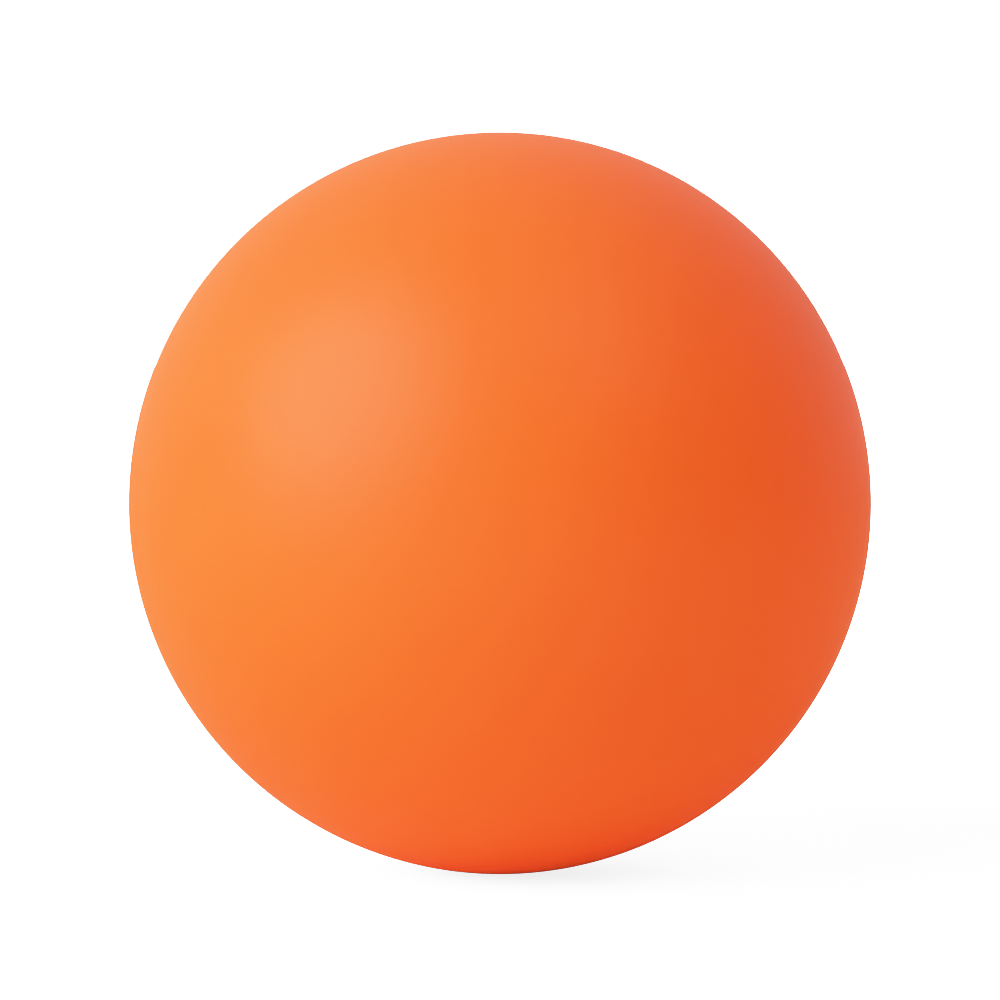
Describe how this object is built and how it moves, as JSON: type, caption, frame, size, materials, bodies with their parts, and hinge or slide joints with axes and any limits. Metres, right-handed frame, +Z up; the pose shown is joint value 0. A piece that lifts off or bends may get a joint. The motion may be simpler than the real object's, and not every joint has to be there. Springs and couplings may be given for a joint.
{
  "type": "golf ball",
  "caption": "Smooth golf ball for putting and minigolf, with a layered rubber core, an ionomer casing, a moulded cover and a coat of satin orange lacquer.",
  "frame": {"origin": "centre of the ball", "axes": "+Z up, through the poles of the cover and of the outer core; +X through the pole of the casing's right half; every line through the origin is an axis of symmetry of the outside"},
  "size_m": [0.0427, 0.0426, 0.0428],
  "materials": {
    "inner_core_rubber": "matte",
    "outer_core_rubber": "matte",
    "casing_ionomer": "satin",
    "cover_plastic": "satin",
    "satin_lacquer": "satin"
  },
  "bodies": {
    "root": {"inner_core": "inner_core_rubber", "outer_core_upper_cup": "outer_core_rubber", "outer_core_lower_cup": "outer_core_rubber", "casing_left_half": "casing_ionomer", "casing_right_half": "casing_ionomer", "cover_upper_half": "cover_plastic", "cover_lower_half": "cover_plastic", "lacquer_coat": "satin_lacquer"}
  },
  "joints": []
}
